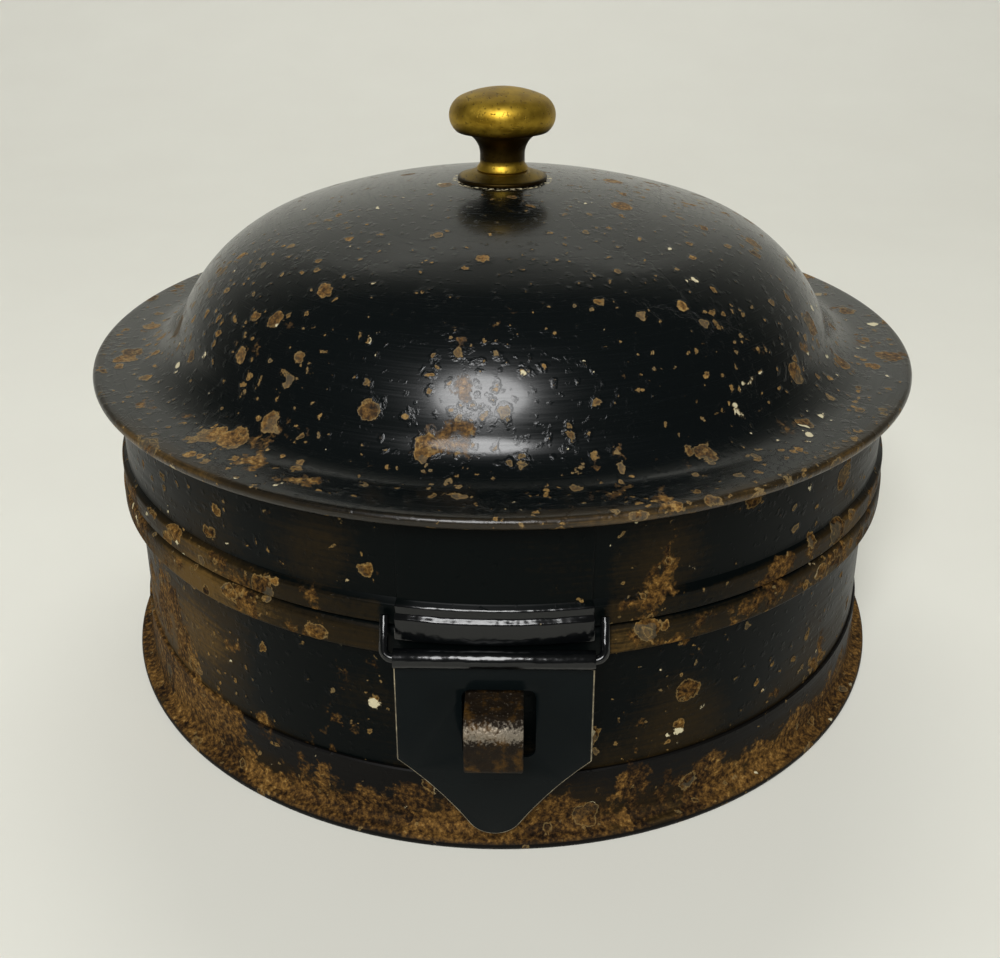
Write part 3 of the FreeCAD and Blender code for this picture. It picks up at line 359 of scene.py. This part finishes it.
# brass: turned, handled and tarnished olive, scratched on top, dark brown in a band that is partly tarnish
# and partly painted shade: the knob's neck and cove under its head, and the rose's lower edge
def brassMaterial(name, look):
    material, tree, shader = newMaterial(name)
    place = inMillimetres(tree)
    apart = addNode(tree, "SeparateXYZ", {0: place}).outputs
    clouds = addNode(tree, "TexNoise",
                     {"Vector": place, "Scale": 1 / 5, "Detail": 4, "Roughness": 0.6}).outputs[0]
    # painted shade and tarnish: a dark brown band at a given height, in the cove under the knob's head and
    # round the rose's lower edge
    tarnishAndShade = addNode(tree, "Math", {0: apart["Z"], 1: look["tarnishAndShade"]}, operation="SUBTRACT").outputs[0]
    tarnishAndShade = addNode(tree, "Math", {0: tarnishAndShade}, operation="ABSOLUTE").outputs[0]
    tarnishAndShade = addNode(tree, "MapRange",
                     {"Value": tarnishAndShade, "From Min": look["tarnishAndShadeWide"], "From Max": look["tarnishAndShadeWide"] * 0.75,
                                        "To Max": 0.96}).outputs[0]
    stretched = addNode(tree, "Mapping",
                        {"Vector": place, "Rotation": (0.3, 0.2, 0.6), "Scale": (1, 0.12, 1)})
    hairs = addNode(tree, "TexNoise",
                    {"Vector": stretched.outputs[0], "Scale": 1 / 0.55, "Detail": 2}).outputs[0]
    hairs = addNode(tree, "MapRange", {"Value": hairs, "From Min": 0.62, "From Max": 0.68}).outputs[0]
    tone = addNode(tree, "MapRange", {"Value": clouds, "From Min": 0.3, "From Max": 0.72}).outputs[0]
    metal = addNode(tree, "Mix", {0: tone, 6: linear(look["dull"]), 7: linear(look["rubbed"])},
                    data_type="RGBA").outputs[2]
    # scratches and the band of tarnish and painted shade pull the colour towards dark brown
    stain = addNode(tree, "Math", {0: hairs, 1: 0.45, 2: tarnishAndShade}, operation="MULTIPLY_ADD",
                    use_clamp=True).outputs[0]
    colour = addNode(tree, "Mix", {0: stain, 6: metal, 7: linear("#2a1f0c")}, data_type="RGBA").outputs[2]
    rough = addNode(tree, "MapRange", {"Value": clouds, "From Min": 0.3, "From Max": 0.7,
                                       "To Min": 0.40, "To Max": 0.54}).outputs[0]
    relief = addNode(tree, "Math", {0: hairs, 1: -0.05, 2: 0}, operation="MULTIPLY_ADD").outputs[0]
    relief = addNode(tree, "Math", {0: clouds, 1: 0.06, 2: relief}, operation="MULTIPLY_ADD").outputs[0]
    bump = addNode(tree, "Bump", {"Height": relief, "Distance": 0.001, "Strength": 1}).outputs[0]
    tree.links.new(colour, shader.inputs["Base Color"])
    tree.links.new(rough, shader.inputs["Roughness"])
    tree.links.new(bump, shader.inputs["Normal"])
    shader.inputs["Metallic"].default_value = 1
    return material


# the knob's dark band under its head and the rose's dark lower edge are partly tarnish and partly painted
# shade
knobBrass = brassMaterial("handled_brass_painted_shade", {
    "dull": "#80641a", "rubbed": "#c2a23c", "tarnishAndShade": 112.0, "tarnishAndShadeWide": 4.2})
roseBrass = brassMaterial("tarnished_brass_painted_shade", {
    "dull": "#6b571c", "rubbed": "#98803a", "tarnishAndShade": 104.4, "tarnishAndShadeWide": 0.9})


# tinplate inside: dull tin over thin iron, grey, with brown age spots and a drawn grain
def tinMaterial(name):
    material, tree, shader = newMaterial(name)
    place = inMillimetres(tree)
    clouds = addNode(tree, "TexNoise",
                     {"Vector": place, "Scale": 1 / 16, "Detail": 4, "Roughness": 0.6}).outputs[0]
    stretched = addNode(tree, "Mapping", {"Vector": place, "Scale": (1, 1, 0.08)}).outputs[0]
    grain = addNode(tree, "TexNoise", {"Vector": stretched, "Scale": 1 / 0.8, "Detail": 2}).outputs[0]
    spots = addNode(tree, "TexNoise",
                    {"Vector": place, "Scale": 1 / 3.5, "Detail": 5, "Roughness": 0.7}).outputs[0]
    spots = addNode(tree, "Math", {0: clouds, 1: 0.5, 2: spots}, operation="MULTIPLY_ADD").outputs[0]
    spots = addNode(tree, "MapRange", {"Value": spots, "From Min": 0.86, "From Max": 0.96}).outputs[0]
    metal = addNode(tree, "Mix", {0: clouds, 6: linear("#8d8a82"), 7: linear("#b5b2aa")},
                    data_type="RGBA").outputs[2]
    colour = addNode(tree, "Mix", {0: spots, 6: metal, 7: linear("#4a3520")}, data_type="RGBA").outputs[2]
    shine = addNode(tree, "MapRange", {"Value": spots, "To Min": 0.9, "To Max": 0.1}).outputs[0]
    rough = addNode(tree, "Math", {0: grain, 1: 0.22, 2: 0.26}, operation="MULTIPLY_ADD").outputs[0]
    rough = addNode(tree, "Mix", {0: spots, 2: rough, 3: 0.75}).outputs[0]
    relief = addNode(tree, "Math", {0: clouds, 1: 0.2, 2: 0}, operation="MULTIPLY_ADD").outputs[0]
    bump = addNode(tree, "Bump", {"Height": relief, "Distance": 0.001, "Strength": 1}).outputs[0]
    tree.links.new(colour, shader.inputs["Base Color"])
    tree.links.new(shine, shader.inputs["Metallic"])
    tree.links.new(rough, shader.inputs["Roughness"])
    tree.links.new(bump, shader.inputs["Normal"])
    return material


tinplate = tinMaterial("aged_tinplate")
print("materials made")


turning = {"segments": 288, "knobSegments": 96, "weld": 0.002, "smoothAngle": 32}


# a turned or spun piece: a ring of edges drawn out row by row along its profile
def turnedPiece(name, profile, segments, closeTop=False):
    clearSelection()
    radius, height = profile[0]
    bpy.ops.mesh.primitive_circle_add(vertices=segments, radius=radius / 1000, location=metres(0, 0, height))
    piece = bpy.context.object
    piece.name = piece.data.name = name
    bpy.ops.object.transform_apply(location=True)
    bpy.ops.object.mode_set(mode="EDIT")
    bpy.ops.mesh.select_all(action="SELECT")
    for nextRadius, nextHeight in profile[1:]:
        bpy.ops.mesh.extrude_edges_move()
        bpy.ops.transform.translate(value=metres(0, 0, nextHeight - height))
        bpy.ops.transform.resize(value=(nextRadius / radius, nextRadius / radius, 1),
                                 center_override=(0, 0, 0))
        radius, height = nextRadius, nextHeight
    if closeTop:
        bpy.ops.mesh.merge(type="CENTER")
    bpy.ops.mesh.select_all(action="SELECT")
    bpy.ops.mesh.remove_doubles(threshold=turning["weld"] / 1000)
    bpy.ops.mesh.normals_make_consistent(inside=False)
    bpy.ops.object.mode_set(mode="OBJECT")
    bpy.ops.object.shade_smooth_by_angle(angle=math.radians(turning["smoothAngle"]))
    return piece


def finishWith(piece, *finishes):
    piece.data.materials.clear()
    for finish in finishes:
        piece.data.materials.append(finish)


def dress(piece, body, node):
    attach(piece, body)
    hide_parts(node)


# lid: crown, shoulder and brim raised from one sheet, its edge rolled over a wire
dome = {"brimTop": 70.0, "shoulder": 38.0, "fillet": 10.7, "filletEnd": 81.5, "lean": 24.4, "turn": 18.3,
        "sheet": 0.6, "roll": 1.1, "rollEnd": 262, "brim": 90.0, "brimRings": (83.5, 85.5, 87.5),
        "underRing": 83.0, "tuck": 0.9, "hole": 2.1, "crownSteps": 14, "bendSteps": 22, "footSteps": 14,
        "rollSteps": 16}
reach = dome["shoulder"] + dome["fillet"]
domeX = dome["filletEnd"] - reach * cosDeg(dome["lean"])
domeZ = dome["brimTop"] + dome["fillet"] - reach * sinDeg(dome["lean"])
crownReach = dome["shoulder"] + domeX / sinDeg(dome["turn"])
crownZ = domeZ - domeX / sinDeg(dome["turn"]) * cosDeg(dome["turn"])
domeTop = crownZ + crownReach
rollX, rollZ = dome["brim"] - dome["roll"], dome["brimTop"] - dome["roll"]
holeTurn = math.degrees(math.asin(dome["hole"] / crownReach))
leave = 90 - dome["lean"]


def domeFace(inset):  # from the knob's hole out to the foot of the dome
    return (arc(0, crownZ, crownReach - inset, holeTurn, dome["turn"], dome["crownSteps"])
            + arc(domeX, domeZ, dome["shoulder"] - inset, dome["turn"], leave, dome["bendSteps"])[1:]
            + arc(dome["filletEnd"], dome["brimTop"] + dome["fillet"], dome["fillet"] + inset,
                  -180 + leave, -180, dome["footSteps"])[1:])


lidProfile = domeFace(0)
lidProfile += [(radius, dome["brimTop"]) for radius in dome["brimRings"]]
lidProfile += arc(rollX, rollZ, dome["roll"], 0, dome["rollEnd"], dome["rollSteps"])
underside = (rollX - dome["tuck"], dome["underRing"])
lidProfile += [(radius, dome["brimTop"] - dome["sheet"]) for radius in underside]
lidProfile += list(reversed(domeFace(dome["sheet"])))
lidProfile.append(lidProfile[0])
lidTop = turnedPiece("lid_top", lidProfile, turning["segments"])
finishWith(lidTop, lidJapan)
dress(lidTop, "lid", "lid_dome")

# lid band: skirt with a folded, stepped hem
band = {"radius": 85.2, "hem": 86.3, "bottom": 46.5, "hemTop": 50.3, "top": 69.35, "sheet": 0.6,
        "flange": 83.2, "rings": (69.35, 64.0, 58.0, 51.4), "hemRound": 0.6, "hemDrop": 0.2,
        "edgeRound": 0.5, "fold": 1.2, "foldRise": 0.1, "steps": 5}
bandProfile = [(band["radius"], z) for z in band["rings"]]
bandProfile += arc(band["hem"] - band["hemRound"], band["hemTop"] - band["hemDrop"], band["hemRound"], 25,
                   90, band["steps"])
bandProfile += arc(band["hem"] - band["edgeRound"], band["bottom"] + band["edgeRound"], band["edgeRound"],
                   90, 180, band["steps"])
bandProfile += [(band["hem"] - band["fold"], band["bottom"]),
                (band["hem"] - band["fold"], band["hemTop"] - band["sheet"]),
                (band["radius"] - band["sheet"], band["hemTop"] + band["foldRise"]),
                (band["radius"] - band["sheet"], band["top"] - band["sheet"]),
                (band["flange"], band["top"] - band["sheet"]), (band["flange"], band["top"]),
                (band["radius"], band["top"])]
lidBand = turnedPiece("lid_band", bandProfile, turning["segments"])
finishWith(lidBand, bandJapan)
dress(lidBand, "lid", "lid_skirt")

# body: rolled wall, stop bead swaged out of it, short neck with a folded hem
wall = {"radius": 83.8, "inner": 83.2, "foot": 2.0, "beadBottom": 40.2, "beadTop": 46.2, "bead": 86.6,
        "neckTop": 56.0, "hem": 3.0, "round": 1.8, "sheet": 0.6,
        "rings": (2.0, 8.0, 16.0, 24.0, 32.0, 38.0), "neckRing": 50.0, "innerRing": 20.0, "corner": 0.3,
        "lowRound": 0.9, "lowRise": 1.1, "ledge": 1.0, "ledgeRise": 0.15, "steps": 5, "roundSteps": 8}
wallProfile = [(wall["radius"], z) for z in wall["rings"]]
wallProfile += [(wall["radius"], wall["beadBottom"]),
                (wall["bead"] - wall["ledge"], wall["beadBottom"] + wall["ledgeRise"])]
wallProfile += arc(wall["bead"] - wall["lowRound"], wall["beadBottom"] + wall["lowRise"], wall["lowRound"],
                   160, 90, wall["steps"])
wallProfile += arc(wall["bead"] - wall["round"], wall["beadTop"] - wall["round"], wall["round"], 90, 0,
                   wall["roundSteps"])
wallProfile += [(wall["radius"], wall["beadTop"]), (wall["radius"], wall["neckRing"]),
                (wall["radius"], wall["neckTop"] - wall["corner"]),
                (wall["radius"] - wall["corner"], wall["neckTop"]),
                (wall["inner"] - wall["sheet"], wall["neckTop"]),
                (wall["inner"] - wall["sheet"], wall["neckTop"] - wall["hem"]),
                (wall["inner"], wall["neckTop"] - wall["hem"]),
                (wall["inner"], wall["beadTop"] - wall["sheet"])]
wallProfile += arc(wall["bead"] - wall["round"], wall["beadTop"] - wall["round"],
                   wall["round"] - wall["sheet"], 0, 90, wall["steps"])
wallProfile += [(wall["bead"] - wall["sheet"], wall["beadBottom"] + wall["lowRise"]),
                (wall["inner"], wall["beadBottom"] + wall["sheet"]), (wall["inner"], wall["innerRing"]),
                (wall["inner"], wall["foot"]), (wall["radius"], wall["foot"])]
bodyWall = turnedPiece("tin_wall", wallProfile, turning["segments"])
finishWith(bodyWall, bandJapan)
dress(bodyWall, "base", "body_wall")

# foot: collar lapped over the wall, flared out and rolled over a wire that stands on the table
foot = {"outside": 84.45, "inside": 83.85, "top": 14.2, "overhang": 3.15, "roll": 1.1, "sink": 0.15,
        "sheet": 0.6, "corner": 0.25, "rings": (11.0, 7.5), "rollEnd": 290, "flareSteps": 8,
        "rollSteps": 10, "underSteps": 6}
footX = foot["outside"] + foot["overhang"] - foot["roll"]
footZ = foot["roll"] - foot["sink"]
flare = footX - foot["outside"]
flatTurn = 180 - math.degrees(math.acos(footZ / foot["roll"]))
footProfile = [(foot["outside"] - foot["corner"], foot["top"]),
               (foot["outside"], foot["top"] - foot["corner"])]
footProfile += [(foot["outside"], z) for z in foot["rings"]]
footProfile += arc(footX, footZ + foot["roll"] + flare, flare, -90, -180, foot["flareSteps"])
footProfile += arc(footX, footZ, foot["roll"], 0, flatTurn, foot["rollSteps"])[1:]
footProfile += arc(footX, footZ, foot["roll"], 360 - flatTurn, foot["rollEnd"], foot["underSteps"])
footProfile += arc(footX, footZ + foot["roll"] + flare, flare + foot["sheet"], -180, -90, foot["flareSteps"])
footProfile += [(foot["inside"], foot["top"]), (foot["outside"] - foot["corner"], foot["top"])]
footCollar = turnedPiece("foot_collar", footProfile, turning["segments"])
finishWith(footCollar, footJapan)
dress(footCollar, "base", "foot_ring")

# knob: one turning, with a rose under it
knob = {"roseHeight": 1.7, "gap": 0.05, "footRadius": 5.6, "footHeight": 1.4, "neck": 4.9,
        "neckLength": 2.1, "lipTurn": 48.0, "edge": 4.4, "crown": 22.0, "crownTurn": 24.0, "crownEnd": 1.2,
        "bore": 3.0, "corner": 0.25, "footRound": (0.05, 0.7), "neckRound": (0.12, 0.4), "coveSteps": 14,
        "edgeSteps": 16, "crownSteps": 10}
knobFoot = domeTop + knob["roseHeight"] + knob["gap"]
headX = (knob["crown"] - knob["edge"]) * sinDeg(knob["crownTurn"])
lip = headX + knob["edge"] * cosDeg(knob["lipTurn"])
cove = lip - knob["neck"]
neckEnd = knobFoot + knob["footHeight"] + knob["neckLength"]
headZ = neckEnd + cove + knob["edge"] * sinDeg(knob["lipTurn"])
knobCrown = headZ - (knob["crown"] - knob["edge"]) * cosDeg(knob["crownTurn"])
knobProfile = [(knob["bore"], knobFoot), (knob["footRadius"] - knob["corner"], knobFoot),
               (knob["footRadius"], knobFoot + knob["corner"]),
               (knob["footRadius"] - knob["footRound"][0], knobFoot + knob["footRound"][1]),
               (knob["neck"] + knob["neckRound"][0], knobFoot + knob["footHeight"]),
               (knob["neck"], knobFoot + knob["footHeight"] + knob["neckRound"][1])]
knobProfile += arc(lip, neckEnd, cove, -90, 0, knob["coveSteps"])
knobProfile += arc(headX, headZ, knob["edge"], 90 + knob["lipTurn"], knob["crownTurn"], knob["edgeSteps"])[1:]
knobProfile += arc(0, knobCrown, knob["crown"], knob["crownTurn"], knob["crownEnd"], knob["crownSteps"])[1:]
knobHead = turnedPiece("knob_head", knobProfile, turning["knobSegments"], closeTop=True)
finishWith(knobHead, knobBrass)
dress(knobHead, "lid", "knob")

rose = {"radius": 9.85, "edge": 0.8, "boss": 6.6, "bore": 2.1, "underRing": (5.0, 0.08), "corner": 0.2,
        "edgeRound": 0.3, "bossFoot": (0.5, 0.35), "bossEdge": 0.08, "bossRound": 0.3, "steps": 4}
roseFoot = crownZ + math.sqrt(crownReach ** 2 - rose["radius"] ** 2) + knob["gap"]
roseTop = domeTop + knob["roseHeight"]
roseUnder = domeTop + knob["gap"]
roseProfile = [(rose["bore"], roseUnder), (rose["underRing"][0], roseUnder - rose["underRing"][1]),
               (rose["radius"] - rose["corner"], roseFoot), (rose["radius"], roseFoot + rose["corner"])]
roseProfile += arc(rose["radius"] - rose["edgeRound"], roseFoot + rose["edge"] - rose["edgeRound"],
                   rose["edgeRound"], 90, 15, rose["steps"])
roseProfile += [(rose["boss"] + rose["bossFoot"][0], roseTop - rose["bossFoot"][1]),
                (rose["boss"], roseTop - rose["bossEdge"]), (rose["boss"] - rose["bossRound"], roseTop),
                (rose["bore"], roseTop), (rose["bore"], roseUnder)]
knobRose = turnedPiece("knob_seat", roseProfile, turning["knobSegments"])
finishWith(knobRose, roseBrass)
dress(knobRose, "lid", "knob_rose")
print("turned pieces made")


softening = {"weld": 0.003, "flatAngle": 1.5, "edgeAngle": 40, "rounds": 2}


# fittings keep their drawn shape, with edges softened as cut sheet and rolled wire have them
def softenedPiece(name, node, soften, finishes, edgeSlot=0):
    clearSelection()
    source = nodes[node]
    source.select_set(True)
    bpy.context.view_layer.objects.active = source
    bpy.ops.object.duplicate()
    piece = bpy.context.object
    piece.name = piece.data.name = name
    for key in list(piece.keys()):
        del piece[key]
    piece.parent = None
    finishWith(piece, *finishes)
    bpy.ops.object.mode_set(mode="EDIT")
    bpy.ops.mesh.customdata_custom_splitnormals_clear()
    bpy.ops.mesh.select_all(action="SELECT")
    bpy.ops.mesh.remove_doubles(threshold=softening["weld"] / 1000)
    bpy.ops.mesh.dissolve_limited(angle_limit=math.radians(softening["flatAngle"]))
    bpy.ops.object.mode_set(mode="OBJECT")
    bevel = piece.modifiers.new("soften", "BEVEL")
    bevel.width = soften / 1000
    bevel.segments = softening["rounds"]
    bevel.limit_method = "ANGLE"
    bevel.angle_limit = math.radians(softening["edgeAngle"])
    bevel.material = edgeSlot
    bpy.ops.object.modifier_apply(modifier="soften")
    bpy.ops.object.shade_smooth_by_angle(angle=math.radians(softening["edgeAngle"]))
    return piece


haspPlate = softenedPiece("hasp_shield", "hasp_plate", 0.22, (platePaint, wornEdge), edgeSlot=1)
slotReach = {"side": 0.012, "low": 0.022, "high": 0.038}  # in m; paint still covers the edges of the slot
for face in haspPlate.data.polygons:
    if abs(face.center.x) < slotReach["side"] and slotReach["low"] < face.center.z < slotReach["high"]:
        face.material_index = 0
dress(haspPlate, "hasp", "hasp_plate")
haspRoll = softenedPiece("hasp_roll", "hasp_knuckle", 0.15, (thickPaint,))
dress(haspRoll, "hasp", "hasp_knuckle")
haspLeaf = softenedPiece("hasp_leaf", "hasp_hinge_leaf", 0.5, (leafJapan, thickPaint))
leafBend = 0.0512  # in m; the flat of the leaf starts above this height
for face in haspLeaf.data.polygons:
    face.material_index = 0 if face.center.z > leafBend else 1
dress(haspLeaf, "lid", "hasp_hinge_leaf")
haspPin = softenedPiece("hasp_pin", "hasp_wire", 0.15, (thickPaint,))
dress(haspPin, "lid", "hasp_wire")
strapStaple = softenedPiece("strap_staple", "staple", 0.3, (stapleIron,))
dress(strapStaple, "base", "staple")
rear = {"y": 0.08865, "z": 0.0462, "knuckle": 0.0024}  # in m; hinge line of the lid, reach of its knuckles
for name, node, body in (("rear_leaf_body", "hinge_base_leaf", "base"),
                         ("rear_leaf_lid", "hinge_lid_leaf", "lid")):
    leaf = softenedPiece(name, node, 0.25, (leafJapan, thickPaint))
    for face in leaf.data.polygons:
        away = math.hypot(face.center.y - rear["y"], face.center.z - rear["z"])
        face.material_index = 1 if away < rear["knuckle"] else 0
    dress(leaf, body, node)
print("fittings softened")

# what is inside, or hidden in a rolled edge, keeps its drawn shape
kept = {"base_floor": bandJapan, "foot_wire": plainIron, "brim_wire": plainIron, "hinge_pin": plainIron,
        "knob_stud": plainIron, "knob_washer": plainIron, "knob_nut": plainIron, "grater_tube": tinplate,
        "grater_floor": tinplate, "grater_cap": tinplate}
for number in range(1, 7):
    for part in ("canister", "canister_floor", "canister_tab"):
        kept[f"{part}_{number}"] = tinplate
for node, finish in kept.items():
    finishWith(nodes[node], finish)
print("inner pieces finished")

# pale card sheet under and behind the tin
stage = {"width": 14.0, "front": -9.0, "bendStart": 0.35, "bend": 0.9, "bendStep": 6, "height": 2.2,
         "edgeReach": 0.01, "fibre": 60, "dull": 0.85}
clearSelection()
bpy.ops.mesh.primitive_plane_add(size=1, location=(0, 0, 0))
card = bpy.context.object
card.name = "card_sheet"
bpy.ops.object.mode_set(mode="EDIT")
bpy.ops.mesh.select_all(action="SELECT")
bpy.ops.transform.resize(value=(stage["width"], stage["bendStart"] - stage["front"], 1))
bpy.ops.transform.translate(value=(0, (stage["bendStart"] + stage["front"]) / 2, 0))
bpy.ops.mesh.select_all(action="DESELECT")
bpy.ops.object.mode_set(mode="OBJECT")
backEdge = stage["bendStart"] - stage["edgeReach"]
for edge in card.data.edges:
    edge.select = all(card.data.vertices[v].co.y > backEdge for v in edge.vertices)
bpy.ops.object.mode_set(mode="EDIT")
bpy.ops.mesh.select_mode(type="EDGE")
for turn in range(stage["bendStep"], 91, stage["bendStep"]):
    ahead = stage["bend"] * (sinDeg(turn) - sinDeg(turn - stage["bendStep"]))
    rise = stage["bend"] * (cosDeg(turn - stage["bendStep"]) - cosDeg(turn))
    bpy.ops.mesh.extrude_edges_move(TRANSFORM_OT_translate={"value": (0, ahead, rise)})
bpy.ops.mesh.extrude_edges_move(TRANSFORM_OT_translate={"value": (0, 0, stage["height"])})
bpy.ops.object.mode_set(mode="OBJECT")
bpy.ops.object.shade_smooth()
cardPaper, tree, shader = newMaterial("pale_card")
fibre = addNode(tree, "TexNoise",
                {"Vector": inMillimetres(tree), "Scale": 1 / stage["fibre"], "Detail": 3}).outputs[0]
paper = addNode(tree, "Mix", {0: fibre, 6: linear("#dddcd2"), 7: linear("#e2e2d8")},
                data_type="RGBA").outputs[2]
tree.links.new(paper, shader.inputs["Base Color"])
shader.inputs["Roughness"].default_value = stage["dull"]
card.data.materials.append(cardPaper)

# soft lamp above and behind the camera, a second over the backdrop, dim room
lamps = {"window": {"at": (-0.16, -1.25, 1.22), "aim": (0, 0, 0), "size": 0.8, "power": 31, "mirrored": True},
         "ceiling": {"at": (0.0, 1.35, 1.5), "aim": (0, 1.1, 0), "size": 1.4, "power": 19, "mirrored": False}}
for lampName, lamp in lamps.items():
    clearSelection()
    bpy.ops.object.light_add(type="AREA", location=lamp["at"])
    light = bpy.context.object
    light.name = lampName
    light.data.shape = "DISK"
    light.data.size = lamp["size"]
    light.data.energy = lamp["power"]
    light.visible_glossy = lamp["mirrored"]
    aim = mathutils.Vector(lamp["aim"]) - light.location
    light.rotation_euler = aim.to_track_quat("-Z", "Y").to_euler()
room = {"colour": "#e8e4dc", "strength": 0.10}
world = bpy.data.worlds.new("dim_room")
bpy.context.scene.world = world
world.use_nodes = True
background = world.node_tree.nodes["Background"]
background.inputs["Color"].default_value = linear(room["colour"])
background.inputs["Strength"].default_value = room["strength"]

# camera where the photo was taken: close in front, looking down
camera = {"away": 246.5, "height": 160.0, "pitch": 21.34, "side": 0.9, "focalPixels": 1133.6,
          "centreRow": 350.0, "centreColumn": 502.4, "wide": 1000, "high": 958, "sensor": 36.0,
          "nearest": 0.01}
clearSelection()
bpy.ops.object.camera_add(
    location=metres(camera["away"] * sinDeg(camera["side"]), -camera["away"] * cosDeg(camera["side"]),
                    camera["height"]),
    rotation=(math.radians(90 - camera["pitch"]), 0, math.radians(camera["side"])))
eye = bpy.context.object
eye.data.sensor_width = camera["sensor"]
eye.data.sensor_fit = "HORIZONTAL"
eye.data.lens = camera["focalPixels"] * camera["sensor"] / camera["wide"]
eye.data.shift_x = (camera["wide"] / 2 - camera["centreColumn"]) / camera["wide"]
eye.data.shift_y = (camera["centreRow"] - camera["high"] / 2) / camera["wide"]
eye.data.clip_start = camera["nearest"]
bpy.context.scene.camera = eye
bpy.context.scene.view_settings.view_transform = "Standard"
print("stage, lamps and camera set")

clearSelection()
